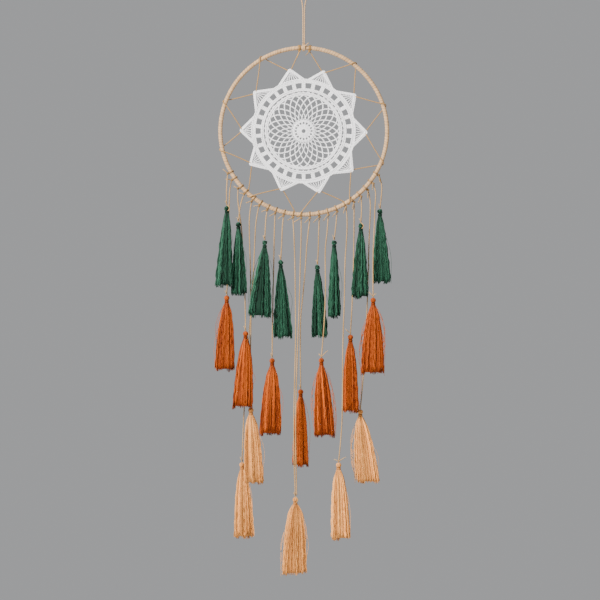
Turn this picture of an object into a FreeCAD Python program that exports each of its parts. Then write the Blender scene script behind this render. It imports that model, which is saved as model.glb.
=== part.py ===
"""A dream catcher: a lace-wrapped steel hoop, a crocheted doily laced into it, and twenty tassels.

Millimetres, +Z up, +X to the right seen from the front, and the front faces -Y. The origin is the hang
point: the place at the top of the hanging loop where the loop bears on its nail or hook.
"""
import FreeCAD, Part
import math
import os

V = FreeCAD.Vector

# hoop: a closed steel ring, wrapped all round with flat lace
HOOP_DIAMETER = 200.0       # outside the lace
RING_WIRE = 3.0
LACE_THICKNESS = 0.95
LACE_CLEARANCE = 0.02       # between the ring and the lace wound on it

# hanging loop: one cord doubled over the nail, both ends in the hitch on top of the hoop
HANG_DROP = 74.0            # hang point to the top of the hoop
LOOP_CORD = 1.5
LOOP_HALF_GAP = 0.8         # middle of each leg from the loop's own middle
LOOP_TOP = [(0.9, 26.0), (4.6, 14.5), (6.6, 5.5), (3.4, -0.75)]   # right half: x, and below the hang point

# hitch: a sleeve of cord round the hoop's top, that turns on the hoop, with a knot above it and one tail
HITCH_CLEARANCE = 0.32
HITCH_WALL = 1.2
HITCH_WIDTH = 3.6
HITCH_KNOT_RADIUS = 1.9
HITCH_KNOT_RISE = 1.3       # how far the knot stands above the sleeve
HITCH_ROUNDING = 0.54
HITCH_TAIL = (5.0, 4.8)     # the tail's tip, right and up from the middle of the hoop's tube
HITCH_TAIL_DIAMETER = 1.35
LOOP_GAP = 0.3              # between the hitch and the loop that twists on it

# doily: ten laced points, a ring of windows, and a net of round holes
POINT_ANGLES = (102.7, 141.7, 179.4, 211.8, 249.2, 284.3, 320.7, 358.7, 35.0, 71.4)
POINT_REACH = 76.0
POINT_ROUNDING = 1.8
VALLEY_RADIUS = 60.0
VALLEY_ROUNDING = 2.5
DOILY_THICKNESS = 1.0
EYE_DIAMETER = 4.4
WINDOW_COUNT = 30
WINDOW_RADIUS = 53.2
WINDOW_WIDTH = 6.2
WINDOW_HEIGHT = 5.4
NET_COUNT = 26
NET_ROWS = ((39.0, 4.6), (33.2, 3.8), (27.6, 3.2), (21.6, 2.5), (15.9, 1.7))   # radius, hole width
STAR_COUNT = 16
STAR_RADIUS = 9.4
STAR_HOLE = 1.5
LACING_INSET = 4.5          # lacing hole from a point's tip
LACING_HOLE_GAP = 0.1       # between the hole's wall and the thread

# lacing: one thread from a knot left of the hitch, through each point and round the hoop, to a second knot
THREAD_DIAMETER = 1.1
THREAD_GAP = 0.05           # thread to doily, and a knot's turn to the lace
LACING_START = 93.0         # angle round the hoop of the first knot
LACING_END = 85.9
LACING_BEAD_RADIUS = 1.2
LACING_TAIL_LEFT = (-2.6, -2.2, -7.0)      # from the bead's middle to the tail's tip
LACING_TAIL_RIGHT = (-3.4, -2.0, -4.3)
LACING_TAIL_DIAMETER = 0.88
LACING_CLEARANCE = 0.5      # thread to the lace where it goes round the hoop
LACING_DETOUR = 1.1625      # over the strings' turns: its distance as a multiple of their reach
LACING_TURNS = [            # angles where it goes to the back and to the front, whether it passes over knots
    (119.0, 121.0, False),
    (158.6, 160.4, False),
    (191.4, 193.4, False),
    (228.4, 230.6, True),
    (265.4, 266.8, True),
    (301.4, 302.6, True),
    (336.4, 338.8, False),
    (16.4, 18.6, False),
    (51.6, 53.6, False),
]

# strings' knots on the lower half of the hoop
STRING_DIAMETER = 1.5
KNOT_RADIUS = 1.5
KNOT_OUTSET = 1.9           # middle of a knot outside the lace
KNOT_FRONT = 2.0            # a knot's front and back ends from its string's middle
KNOT_BACK = 1.2
KNOT_SHIFT = 0.35           # share of a string's depth that its knot takes
KNOT_SHIFT_MOST = 1.6
KNOT_TAIL_DIAMETER = 1.2
KNOT_TAIL_FORWARD = 1.8
SWING_GAP = 0.3             # between a knot and the string that swings sideways on it
PAIR_GAP = 0.5              # the same for two strings that share a tassel and swing to the front together

# tassels: a wound ball, a tied neck and a skirt of threads, flat in section
BALL_RADIUS = 3.2
BALL_TOP = 1.2              # radius of the flat where the string's tie sits
NECK_RADIUS = 2.3
NECK_HEIGHT = 2.0
NECK_DROP = 2.6             # top of the neck below the ball's middle
SKIRT_HALF_DEPTH = 3.8
SKIRT_TOP = 2.2
TIE_RADIUS = 1.4
TIE_HEIGHT = 2.4
TIE_BELOW = 1.0             # how much of the tie is below the end of its string's route
PAIR_TOUCH = 0.05           # between two strings where the second one ends beside the first, on its tie
PAIR_REST = 0.04            # between that end and the top of the tie

# how a skirt widens: shares of its length and of its spread, for the green ones and for the fuller others
STRAIGHT_SKIRT = ((0.0, 0.0), (0.14, 0.28), (0.4, 0.56), (0.72, 0.84), (1.0, 1.0))
FULL_SKIRT = ((0.0, 0.0), (0.14, 0.42), (0.4, 0.72), (0.72, 0.9), (1.0, 1.0))
GREEN, ORANGE, CREAM = STRAIGHT_SKIRT, FULL_SKIRT, FULL_SKIRT

# Each strand: the tassel's name and its colour's skirt; how far behind or in front of the hoop it hangs; its
# tassel's length from the ball's middle to the hem, and the hem's left and right edges from the ball; and
# its strings. A string has its knot's angle round the hoop, its tail's angle and length, and its route below
# the knot as (right, down) points.
STRANDS = [
    ("green_l1", GREEN, -11.9, 91.8, -15.2, 7.0, [
        (209.2, 136, 5.8, [(-1.0, 12.0), (-1.2, 26.0), (-0.6, 37.0)])]),
    ("orange_l1", ORANGE, 7.5, 85.9, -15.1, 10.6, [
        (214.2, 167, 5.2, [(-2.5, 9.5), (-2.9, 25.5), (-4.1, 54.5), (-4.4, 97.0), (-6.0, 134.0)])]),
    ("orange_l2", ORANGE, 0.4, 87.3, -17.1, 9.1, [
        (221.2, 153, 4.6, [(-1.0, 9.5), (0.6, 23.5), (4.4, 48.0), (5.6, 80.0), (8.2, 126.0),
                           (8.6, 166.0)])]),
    ("green_l2", GREEN, -4.6, 83.2, -9.9, 10.6, [
        (226.5, 157, 3.3, [(-3.5, 10.5), (-5.2, 20.5), (-6.2, 31.5)])]),
    ("cream_l1", CREAM, 7.6, 87.0, -8.1, 16.5, [
        (233.4, 197, 5.3, [(-3.0, 13.5), (-3.0, 38.5), (-1.6, 80.0), (-1.0, 138.0), (-2.0, 190.0),
                           (-1.2, 241.0)])]),
    ("cream_l2", CREAM, 15.8, 86.3, -10.9, 14.9, [
        (239.1, 180, 4.7, [(-3.5, 14.0), (-5.0, 40.0), (-7.0, 90.0), (-11.5, 146.0), (-15.6, 199.0),
                           (-18.5, 253.0), (-20.2, 300.0)])]),
    ("green_l3", GREEN, -9.0, 87.4, -20.7, 8.5, [
        (245.1, 194, 5.3, [(-1.5, 10.5), (-2.0, 23.0), (-2.7, 34.5)])]),
    ("orange_l3", ORANGE, 0.8, 87.3, -16.4, 11.7, [
        (250.8, 205, 5.4, [(-1.0, 20.0), (-1.5, 58.0), (-3.0, 114.0), (-3.5, 168.5)])]),
    ("green_l4", GREEN, -3.8, 88.6, -9.8, 15.9, [
        (256.5, 205, 5.2, [(-1.5, 15.0), (-1.9, 33.0), (-3.1, 51.0)])]),
    ("cream_centre", CREAM, -16.1, 87.8, -17.6, 13.3, [
        (262.8, 205, 4.5, [(1.5, 22.5), (2.3, 48.0), (3.0, 90.0), (3.5, 144.0), (1.8, 200.0), (1.0, 249.5),
                           (1.5, 290.0), (3.0, 325.0)]),
        (268.3, 209, 7.7, [(0.0, 24.0), (-1.2, 56.0), (-2.0, 97.0), (-4.0, 143.5), (-5.8, 200.0),
                           (-6.5, 249.0),
                           (-6.0, 290.0), (-5.2, 322.8)])]),
    ("orange_centre", ORANGE, 1.0, 88.0, -10.2, 10.3, [
        (274.1, 222, 6.1, [(-3.5, 26.5), (-5.0, 52.0), (-8.0, 88.0), (-11.2, 116.0), (-11.5, 150.0),
                           (-10.9, 199.5)])]),
    ("green_r1", GREEN, 7.4, 82.4, -8.4, 13.5, [
        (280.3, 223, 7.7, [(-0.8, 17.5), (-1.0, 36.5), (-2.1, 55.0)])]),
    ("orange_r1", ORANGE, -4.7, 89.6, -9.1, 17.8, [
        (286.3, 230, 6.9, [(-1.0, 19.0), (-3.5, 37.5), (-3.5, 60.0), (-3.0, 85.0), (-4.3, 126.0),
                           (-8.0, 166.5)])]),
    ("green_r2", GREEN, 0.7, 88.1, -8.1, 8.3, [
        (292.5, 227, 5.9, [(-1.0, 11.5), (-2.0, 22.0), (-3.4, 32.5)])]),
    ("cream_r2", CREAM, -10.7, 87.6, -9.4, 14.6, [
        (299.0, 244, 6.5, [(1.5, 13.0), (1.0, 33.0), (-1.5, 66.5), (-1.7, 106.0), (-4.0, 160.5),
                           (-4.0, 218.0),
                           (-5.0, 262.0), (-8.8, 297.0)])]),
    ("orange_r2", ORANGE, 2.4, 88.7, -10.5, 11.1, [
        (305.3, 253, 6.6, [(0.0, 31.5), (-0.7, 73.5), (-2.0, 116.0), (-4.2, 154.0)])]),
    ("green_r3", GREEN, -3.2, 84.6, -12.3, 9.6, [
        (311.3, 243, 5.8, [(0.4, 11.0), (0.2, 20.5), (-0.5, 30.5)])]),
    ("cream_r1", CREAM, 10.1, 83.7, -6.8, 24.2, [
        (317.4, 268, 7.8, [(3.0, 10.5), (3.0, 26.0), (1.5, 56.0), (0.3, 107.0), (-1.5, 158.0), (-4.5, 214.0),
                           (-8.6, 256.0)])]),
    ("orange_r3", ORANGE, -9.0, 86.7, -15.2, 13.6, [
        (322.9, 261, 5.8, [(3.4, 9.5), (2.0, 26.0), (1.0, 55.0), (-1.0, 93.0), (-0.3, 132.5)])]),
    ("green_r4", GREEN, 1.4, 84.4, -9.4, 14.0, [
        (329.6, 277, 6.7, [(3.5, 9.0), (3.4, 22.0), (1.3, 38.5)])]),
]

# worked out from the sizes above
TUBE_RADIUS = RING_WIRE / 2 + LACE_THICKNESS
HOOP_RADIUS = HOOP_DIAMETER / 2 - TUBE_RADIUS
HOOP_Z = -(HANG_DROP + HOOP_DIAMETER / 2)
TUBE_TOP_Z = HOOP_Z + HOOP_RADIUS
HITCH_BORE = TUBE_RADIUS + HITCH_CLEARANCE
HITCH_TOP_Z = TUBE_TOP_Z + HITCH_BORE + HITCH_WALL + HITCH_KNOT_RISE
KNOT_CIRCLE = HOOP_DIAMETER / 2 + KNOT_OUTSET
BALL_TOP_RISE = math.sqrt(BALL_RADIUS ** 2 - BALL_TOP ** 2)
LACING_STANDOFF = TUBE_RADIUS + LACING_CLEARANCE + THREAD_DIAMETER / 2
KNOTS_STANDOFF = (TUBE_RADIUS + THREAD_GAP + STRING_DIAMETER) * LACING_DETOUR + THREAD_DIAMETER / 2
ARC_SHARE = 0.45            # of the shorter run beside a bend that its arc takes


def polar(radius, degrees, y=0.0):
    """A point at an angle round the hoop's middle."""
    a = math.radians(degrees)
    return V(radius * math.cos(a), y, HOOP_Z + radius * math.sin(a))


def bend(before, corner, after, radius=None):
    """The arc that rounds a corner: its start, middle, end and radius.

    Without a radius the arc takes its share of the shorter of the two runs that meet there.
    """
    back, on = before - corner, after - corner
    runs = min(back.Length, on.Length)
    back.normalize()
    on.normalize()
    half = (math.pi - back.getAngle(on)) / 2
    if radius is None:
        radius = ARC_SHARE * runs / math.tan(half)
    cut = radius * math.tan(half)
    inward = back + on
    inward.normalize()
    middle = corner + inward * (radius / math.cos(half) - radius)
    return corner + back * cut, middle, corner + on * cut, radius


def rounded_outline(corners):
    """A closed outline through (point, radius) corners, each rounded by its own radius."""
    arcs = []
    for n, (corner, radius) in enumerate(corners):
        following = corners[(n + 1) % len(corners)][0]
        arcs.append(bend(corners[n - 1][0], corner, following, radius))
    edges = []
    for n, (start, middle, end, _) in enumerate(arcs):
        edges += [Part.LineSegment(arcs[n - 1][2], start).toShape(), Part.Arc(start, middle, end).toShape()]
    return Part.Wire(edges)


def tube(points, diameter, label):
    """A round tube along straight runs joined by tangent arcs."""
    edges, radii, last = [], [], points[0]
    for before, corner, after in zip(points, points[1:], points[2:]):
        start, middle, end, radius = bend(before, corner, after)
        edges += [Part.LineSegment(last, start).toShape(), Part.Arc(start, middle, end).toShape()]
        radii.append(radius)
        last = end
    edges.append(Part.LineSegment(last, points[-1]).toShape())
    path = Part.Wire(edges)
    along = points[1] - points[0]
    profile = Part.Wire([Part.Circle(points[0], along, diameter / 2).toShape()])
    solid = path.makePipeShell([profile], True, False)
    expected = path.Length * math.pi * diameter ** 2 / 4
    print(f"{label}: length {path.Length:.1f}, radii {[round(r, 1) for r in radii]},"
          f" volume {solid.Volume / expected:.4f} of section times length")
    return solid


def rod(start, end, radius):
    """A straight round rod."""
    return Part.makeCylinder(radius, (end - start).Length, start, end - start)


def turn_round_hoop(degrees, radius):
    """One turn of cord round the wrapped hoop."""
    middle = polar(HOOP_RADIUS, degrees)
    a = math.radians(degrees)
    return Part.makeTorus(TUBE_RADIUS + THREAD_GAP + radius, radius, middle, V(-math.sin(a), 0, math.cos(a)))


def hoop_ring():
    """The welded steel ring inside the lace."""
    return Part.makeTorus(HOOP_RADIUS, RING_WIRE / 2, polar(0, 0), V(0, 1, 0))


def hoop_wrap():
    """The lace wound round the ring, as one closed sleeve."""
    outside = Part.makeTorus(HOOP_RADIUS, TUBE_RADIUS, polar(0, 0), V(0, 1, 0))
    return outside.cut(Part.makeTorus(HOOP_RADIUS, RING_WIRE / 2 + LACE_CLEARANCE, polar(0, 0), V(0, 1, 0)))


def doily():
    """The crocheted doily, as a pierced plate with ten points."""
    front = -DOILY_THICKNESS / 2
    corners = []
    for n, angle in enumerate(POINT_ANGLES):
        following = POINT_ANGLES[(n + 1) % len(POINT_ANGLES)]
        valley = angle + (following - angle) % 360 / 2
        corners.append((polar(POINT_REACH, angle, front), POINT_ROUNDING))
        corners.append((polar(VALLEY_RADIUS, valley, front), VALLEY_ROUNDING))
    plate = Part.Face(rounded_outline(corners)).extrude(V(0, DOILY_THICKNESS, 0))

    holes = [hole(0, 0, EYE_DIAMETER)]
    for row, (radius, width) in enumerate(NET_ROWS):
        holes += [hole(radius, (n + row / 2) * 360 / NET_COUNT, width) for n in range(NET_COUNT)]
    holes += [hole(STAR_RADIUS, n * 360 / STAR_COUNT, STAR_HOLE) for n in range(STAR_COUNT)]
    lacing_hole = THREAD_DIAMETER + 2 * LACING_HOLE_GAP
    holes += [hole(POINT_REACH - LACING_INSET, angle, lacing_hole) for angle in POINT_ANGLES]
    for n in range(WINDOW_COUNT):
        corner = V(WINDOW_RADIUS - WINDOW_HEIGHT / 2, -DOILY_THICKNESS, HOOP_Z - WINDOW_WIDTH / 2)
        window = Part.makeBox(WINDOW_HEIGHT, 2 * DOILY_THICKNESS, WINDOW_WIDTH, corner)
        window.rotate(polar(0, 0), V(0, -1, 0), n * 360 / WINDOW_COUNT)
        holes.append(window)
    return plate.cut(holes)


def hole(radius, degrees, width):
    """A round hole through the doily."""
    front = polar(radius, degrees, -DOILY_THICKNESS)
    return Part.makeCylinder(width / 2, 2 * DOILY_THICKNESS, front, V(0, 1, 0))


def lacing_knot(degrees, bead, tail):
    """The knot at an end of the lacing: a turn round the hoop, a bead and a tail."""
    turn = turn_round_hoop(degrees, THREAD_DIAMETER / 2)
    cut_end = rod(bead, bead + V(*tail), LACING_TAIL_DIAMETER / 2)
    return turn.fuse([Part.makeSphere(LACING_BEAD_RADIUS, bead), cut_end])


def web_thread():
    """The thread that laces the doily's ten points to the hoop, and its two knots."""
    face = DOILY_THICKNESS / 2 + THREAD_DIAMETER / 2 + THREAD_GAP
    inner = HOOP_RADIUS - TUBE_RADIUS - THREAD_DIAMETER
    first, last = polar(inner, LACING_START), polar(inner, LACING_END)
    points = [first]
    for n, angle in enumerate(POINT_ANGLES):
        points += [polar(POINT_REACH - LACING_INSET, angle, -face),
                   polar(POINT_REACH - LACING_INSET, angle, face)]
        if n < len(LACING_TURNS):
            behind, before, over_knots = LACING_TURNS[n]
            standoff = KNOTS_STANDOFF if over_knots else LACING_STANDOFF
            points += [polar(HOOP_RADIUS + standoff, behind, standoff),
                       polar(HOOP_RADIUS + standoff, before, -standoff)]
    points.append(last)
    thread = tube(points, THREAD_DIAMETER, "web_thread")
    return thread.fuse([lacing_knot(LACING_START, first, LACING_TAIL_LEFT),
                        lacing_knot(LACING_END, last, LACING_TAIL_RIGHT)])


def knot_depth(depth):
    """How far a string's knot sits in front of or behind the hoop's middle plane."""
    return max(-KNOT_SHIFT_MOST, min(KNOT_SHIFT_MOST, KNOT_SHIFT * depth))


def string_knot(degrees, tail_degrees, tail_length, depth):
    """A string's knot: a turn round the hoop, the knot on the string's swing axis, and its cut tail."""
    y = knot_depth(depth)
    middle = polar(KNOT_CIRCLE, degrees, y)
    a = math.radians(tail_degrees)
    start = middle + V(0, -KNOT_TAIL_FORWARD, 0)
    tip = start + V(tail_length * math.cos(a), 0, tail_length * math.sin(a))
    tail = rod(start, tip, KNOT_TAIL_DIAMETER / 2)
    knot = Part.makeCylinder(KNOT_RADIUS, KNOT_FRONT + KNOT_BACK, middle - V(0, KNOT_FRONT, 0), V(0, 1, 0))
    return turn_round_hoop(degrees, STRING_DIAMETER / 2).fuse([knot, tail])


def hoop_knots():
    """The knots of all the strings, each a solid of its own."""
    return Part.makeCompound([
        string_knot(degrees, tail_degrees, tail_length, strand[2])
        for strand in STRANDS
        for degrees, tail_degrees, tail_length, _ in strand[6]])


def string_points(degrees, depth, route, gap):
    """A string's points, from just below its knot to its tie on the tassel."""
    y = knot_depth(depth)
    knot = polar(KNOT_CIRCLE, degrees, y)
    fall = route[-1][1]
    below = [knot + V(right, (depth - y) * down / fall, -down) for right, down in route]
    out = below[0] - knot
    out.normalize()
    clear = KNOT_RADIUS + gap + STRING_DIAMETER / 2 * abs(out.y)
    return [knot + out * (clear / math.hypot(out.x, out.z))] + below


def tied_string(name, points):
    """A string and the tie at its lower end, in one solid."""
    tie = Part.makeCylinder(TIE_RADIUS, TIE_HEIGHT, points[-1] - V(0, 0, TIE_BELOW), V(0, 0, 1))
    return tube(points, STRING_DIAMETER, name).fuse(tie)


def tassel(profile, end, length, left, right):
    """A tassel below its string's tie: ball, neck and skirt, each a solid of its own."""
    ball = end - V(0, 0, TIE_BELOW + BALL_TOP_RISE)
    low = math.degrees(math.asin(-NECK_DROP / BALL_RADIUS))
    high = math.degrees(math.asin(BALL_TOP_RISE / BALL_RADIUS))
    head = Part.makeSphere(BALL_RADIUS, ball, V(0, 0, 1), low, high, 360)
    neck = Part.makeCylinder(NECK_RADIUS, NECK_HEIGHT, ball - V(0, 0, NECK_DROP + NECK_HEIGHT), V(0, 0, 1))
    top = ball - V(0, 0, NECK_DROP + NECK_HEIGHT)
    fall = length - NECK_DROP - NECK_HEIGHT
    sections = []
    for share, spread in profile:
        half_width = SKIRT_TOP + ((right - left) / 2 - SKIRT_TOP) * spread
        half_depth = SKIRT_TOP + (SKIRT_HALF_DEPTH - SKIRT_TOP) * min(1, 2 * spread)
        middle = top + V((left + right) / 2 * share, 0, -fall * share)
        sections.append(oval(middle, half_width, half_depth))
    return Part.makeCompound([head, neck, Part.makeLoft(sections, True, False)])


def oval(middle, half_width, half_depth):
    """A level oval outline, wider along X than along Y."""
    wide = max(half_width, half_depth + 0.01)
    return Part.Wire([Part.Ellipse(middle + V(wide, 0, 0), middle + V(0, half_depth, 0), middle).toShape()])


def hanging_loop():
    """The hanging cord, from the hitch up over the hang point and back down to the hitch."""
    foot = HITCH_TOP_Z + LOOP_GAP
    middle = (foot - LOOP_TOP[0][1]) / 2
    rising = [V(LOOP_HALF_GAP, 0, foot), V(LOOP_HALF_GAP + 0.15, 0, middle)]
    rising += [V(x, 0, -down) for x, down in LOOP_TOP]
    falling = [V(-p.x, 0, p.z) for p in reversed(rising)]
    return tube(rising + falling, LOOP_CORD, "hanging_loop")


def hanger_hitch():
    """The hitch that holds the hoop: a sleeve that turns on the hoop's top, its knot and its tail."""
    centre = V(0, 0, TUBE_TOP_Z)
    left = centre - V(HITCH_WIDTH / 2, 0, 0)
    sleeve = Part.makeCylinder(HITCH_BORE + HITCH_WALL, HITCH_WIDTH, left, V(1, 0, 0))
    rims = [e for e in sleeve.Edges if e.isClosed()]
    sleeve = sleeve.makeFillet(min(HITCH_ROUNDING, HITCH_WALL / 2), rims)
    knot_foot = centre + V(0, 0, HITCH_BORE)
    knot = Part.makeCylinder(HITCH_KNOT_RADIUS, HITCH_TOP_Z - knot_foot.z, knot_foot, V(0, 0, 1))
    tail_start = centre + V(0, -HITCH_BORE - HITCH_WALL / 2, 0)
    tail_end = centre + V(HITCH_TAIL[0], -HITCH_BORE - HITCH_WALL / 2, HITCH_TAIL[1])
    bore = Part.makeCylinder(HITCH_BORE, HITCH_WIDTH, left, V(1, 0, 0))
    return sleeve.fuse([knot, rod(tail_start, tail_end, HITCH_TAIL_DIAMETER / 2)]).cut(bore)


def save(name, shape):
    """Write one sub-part, after checking that every piece of it is a sound closed solid."""
    for solid in shape.Solids:
        assert solid.isValid() and solid.Volume > 0, f"{name} has an unsound solid"
    assert shape.Solids, f"{name} has no solid"
    shape.exportStep(f"parts/{name}.step")


def main():
    """Build and write every sub-part."""
    os.makedirs("parts", exist_ok=True)
    for make in (hoop_ring, hoop_wrap, doily, web_thread, hoop_knots, hanging_loop, hanger_hitch):
        save(make.__name__, make())
    for name, profile, depth, length, left, right, strings in STRANDS:
        gap = PAIR_GAP if len(strings) > 1 else SWING_GAP
        first, *others = [string_points(degrees, depth, route, gap) for degrees, _, _, route in strings]
        save(f"string_{name}", tied_string(f"string_{name}", first))
        for points in others:       # a second string ends beside the first one, on top of its tie
            points[-1] = first[-1] + V(STRING_DIAMETER + PAIR_TOUCH, 0, TIE_HEIGHT - TIE_BELOW + PAIR_REST)
            save(f"string_{name}_b", tube(points, STRING_DIAMETER, f"string_{name}_b"))
        save(f"tassel_{name}", tassel(profile, first[-1], length, left, right))


main()
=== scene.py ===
"""A dream catcher dressed for rendering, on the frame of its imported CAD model.

Sizes inside the classes are millimetres, and MM turns them into the frame's metres as a mesh is made. +Z is
up, +X is to the right seen from the front, the front faces -Y, and the origin is the hang point.
"""
import logging
import math
import random
from dataclasses import dataclass, field
from enum import Enum
from typing import Iterable, Sequence

import bmesh
import bpy
from mathutils import Euler, Matrix, Vector


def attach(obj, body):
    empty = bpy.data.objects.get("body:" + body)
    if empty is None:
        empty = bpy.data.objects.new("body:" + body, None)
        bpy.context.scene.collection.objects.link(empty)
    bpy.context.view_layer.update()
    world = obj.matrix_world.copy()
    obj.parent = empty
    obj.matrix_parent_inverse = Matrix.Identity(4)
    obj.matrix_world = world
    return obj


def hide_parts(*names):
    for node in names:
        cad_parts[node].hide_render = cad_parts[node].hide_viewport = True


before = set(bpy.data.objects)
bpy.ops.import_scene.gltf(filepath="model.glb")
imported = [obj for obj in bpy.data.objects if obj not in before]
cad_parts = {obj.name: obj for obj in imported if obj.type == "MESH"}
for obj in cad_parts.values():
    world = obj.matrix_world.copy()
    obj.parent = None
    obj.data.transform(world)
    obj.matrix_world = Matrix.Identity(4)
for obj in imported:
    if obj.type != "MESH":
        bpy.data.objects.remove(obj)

LOG = logging.getLogger("dream_catcher")
MM = 0.001
Colour = tuple[float, float, float]
NodeInputs = dict[str | int, object]
Route = list[tuple[float, float]]

# the hoop that everything hangs from, as in the CAD
HOOP_RADIUS = 97.55
TUBE_RADIUS = 2.45
HOOP_Z = -174.0
TUBE_TOP_Z = HOOP_Z + HOOP_RADIUS
KNOT_CIRCLE = 101.9             # the middles of the knots that tie the strings on
LACING_HOLE = 71.5              # the holes in the doily's points

# the tassels' heads, as in the CAD
BALL_RADIUS = 3.2
BALL_TOP = 1.2                  # radius of the flat on top of the ball
TIE_BELOW = 1.0                 # from that flat up to the end of the string
SKIRT_DROP = 4.6                # from the ball's middle to the top of the skirt
SKIRT_TOP = 2.2                 # half width and half depth of the skirt's top
SKIRT_DEEPENING = 1.6           # what is added to the half depth below it

# how the threads are followed and worked
ROUTE_STEP = 0.75               # between two points of a string's or a cord's middle line
THREAD_INSET = 0.3              # from a skirt's outside to the middle of its outer threads


class Section(Enum):
    """The cross-section of a thread: its sides, its plies and how deep the grooves between them are."""

    HAIR = (3, 0, 0.0)
    ROUND = (6, 0, 0.0)
    PLIED = (9, 3, 0.16)
    PAIRED = (8, 2, 0.2)

    def outline(self) -> list[Vector]:
        """The section's corners on a unit circle of one millimetre.

        Returns:
            Points about the middle of a thread of 1 mm radius, in metres.
        """
        sides, plies, groove = self.value
        corners = []
        for n in range(sides):
            a = 2 * math.pi * n / sides
            reach = MM * (1 + groove * math.cos(plies * a)) if plies else MM
            corners.append(Vector((reach * math.cos(a), reach * math.sin(a), 0)))
        return corners


def polar(radius: float, degrees: float, y: float = 0.0) -> Vector:
    """A point at an angle round the hoop's middle, in millimetres."""
    a = math.radians(degrees)
    return Vector((radius * math.cos(a), y, HOOP_Z + radius * math.sin(a)))


def mix(low: float, high: float, share: float) -> float:
    """The value a share of the way from low to high."""
    return low + (high - low) * share


def along_line(points: Sequence[Vector], step: float) -> list[Vector]:
    """Walk a line of points at even steps.

    Args:
        points: the line's points, in order.
        step: the wanted distance between two of the returned points.

    Returns:
        Points at even distances, both ends among them.
    """
    lengths = [0.0]
    for a, b in zip(points, points[1:]):
        lengths.append(lengths[-1] + (b - a).length)
    count = max(2, round(lengths[-1] / step))
    walked, at = [], 0
    for n in range(count + 1):
        goal = lengths[-1] * n / count
        while at < len(points) - 2 and lengths[at + 1] < goal:
            at += 1
        run = max(1e-9, lengths[at + 1] - lengths[at])
        walked.append(points[at].lerp(points[at + 1], min(1.0, (goal - lengths[at]) / run)))
    return walked


def smooth_line(route: Sequence[Vector], step: float) -> list[Vector]:
    """Follow the NURBS line of a given route at even steps.

    Args:
        route: the control points of the line.
        step: the wanted distance between two of the returned points.

    Returns:
        Points at even distances, both ends among them.
    """
    curve = bpy.data.curves.new("route", "CURVE")
    curve.dimensions = "3D"
    curve.resolution_u = 24
    spline = curve.splines.new("NURBS")
    spline.points.add(len(route) - 1)
    for place, point in zip(spline.points, route):
        place.co = (*point, 1.0)
    spline.order_u = 3
    spline.use_endpoint_u = True
    holder = bpy.data.objects.new("route", curve)
    mesh = bpy.data.meshes.new_from_object(holder)
    points = [v.co.copy() for v in mesh.vertices]
    bpy.data.objects.remove(holder)
    bpy.data.curves.remove(curve)
    bpy.data.meshes.remove(mesh)
    return along_line(points, step)


class Threads:
    """Threads of one cross-section, gathered and made into one closed mesh with a tone on every point."""

    def __init__(self, name: str, section: Section) -> None:
        """Start an empty bundle.

        Args:
            name: what the mesh will be called.
            section: the cross-section of every thread in it.
        """
        self.name = name
        self.section = section
        self.tones: list[float] = []
        self.curve = bpy.data.curves.new(name, "CURVE")
        self.curve.dimensions = "3D"
        self.curve.twist_mode = "MINIMUM"

    def add(self, points: Sequence[Vector], radius: float, tone: float | Sequence[float] = 0.5,
            twist: float = 0.0, closed: bool = False, taper: Sequence[float] | None = None) -> None:
        """Lay one thread.

        Args:
            points: the thread's middle line, in millimetres.
            radius: its radius in millimetres.
            tone: from 0, its darkest colour, to 1, its lightest, for all of it or point by point.
            twist: turns of its plies in a millimetre.
            closed: whether its end joins its start.
            taper: shares of the radius, point by point.
        """
        spline = self.curve.splines.new("POLY")
        spline.points.add(len(points) - 1)
        flat: list[float] = []
        for point in points:
            flat += [point.x * MM, point.y * MM, point.z * MM, 1.0]
        spline.points.foreach_set("co", flat)
        shares = taper or [1.0] * len(points)
        spline.points.foreach_set("radius", [radius * s for s in shares])
        if twist:
            gone, tilts = 0.0, [0.0]
            for a, b in zip(points, points[1:]):
                gone += (b - a).length
                tilts.append(gone * twist * 2 * math.pi)
            spline.points.foreach_set("tilt", tilts)
        spline.use_cyclic_u = closed
        tones = [tone] * len(points) if isinstance(tone, (int, float)) else list(tone)
        for value in tones:
            self.tones += [value] * len(self.section.outline())

    def mesh(self) -> bpy.types.Mesh:
        """Make the gathered threads into one mesh, its faces outwards and its tones in an attribute.

        Returns:
            The closed mesh, in metres.

        Raises:
            ValueError: if the mesh's points and the gathered tones don't match.
        """
        outline = bpy.data.curves.new("outline", "CURVE")
        ring = outline.splines.new("POLY")
        corners = self.section.outline()
        ring.points.add(len(corners) - 1)
        for place, corner in zip(ring.points, corners):
            place.co = (*corner, 1.0)
        ring.use_cyclic_u = True
        profile = linked("outline", outline)
        holder = linked(self.name, self.curve)
        self.curve.bevel_mode = "OBJECT"
        self.curve.bevel_object = profile
        bpy.context.view_layer.update()
        graph = bpy.context.evaluated_depsgraph_get()
        mesh = bpy.data.meshes.new_from_object(holder.evaluated_get(graph), depsgraph=graph)
        for thing in (profile, holder):
            bpy.data.objects.remove(thing)
        bpy.data.curves.remove(outline)
        bpy.data.curves.remove(self.curve)
        mesh.name = self.name
        if len(mesh.vertices) != len(self.tones):
            raise ValueError(f"{self.name}: {len(mesh.vertices)} points for {len(self.tones)} tones")
        mesh.attributes.new("tone", "FLOAT", "POINT").data.foreach_set("value", self.tones)
        face_outwards(mesh)
        return mesh


def face_outwards(mesh: bpy.types.Mesh) -> None:
    """Close a mesh's open ends, turn its faces outwards and shade it smooth.

    Args:
        mesh: the mesh, which is changed in place.
    """
    work = bmesh.new()
    work.from_mesh(mesh)
    bmesh.ops.holes_fill(work, edges=[e for e in work.edges if e.is_boundary], sides=0)
    bmesh.ops.recalc_face_normals(work, faces=work.faces)
    for face in work.faces:
        face.smooth = True
    work.to_mesh(mesh)
    work.free()


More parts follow.
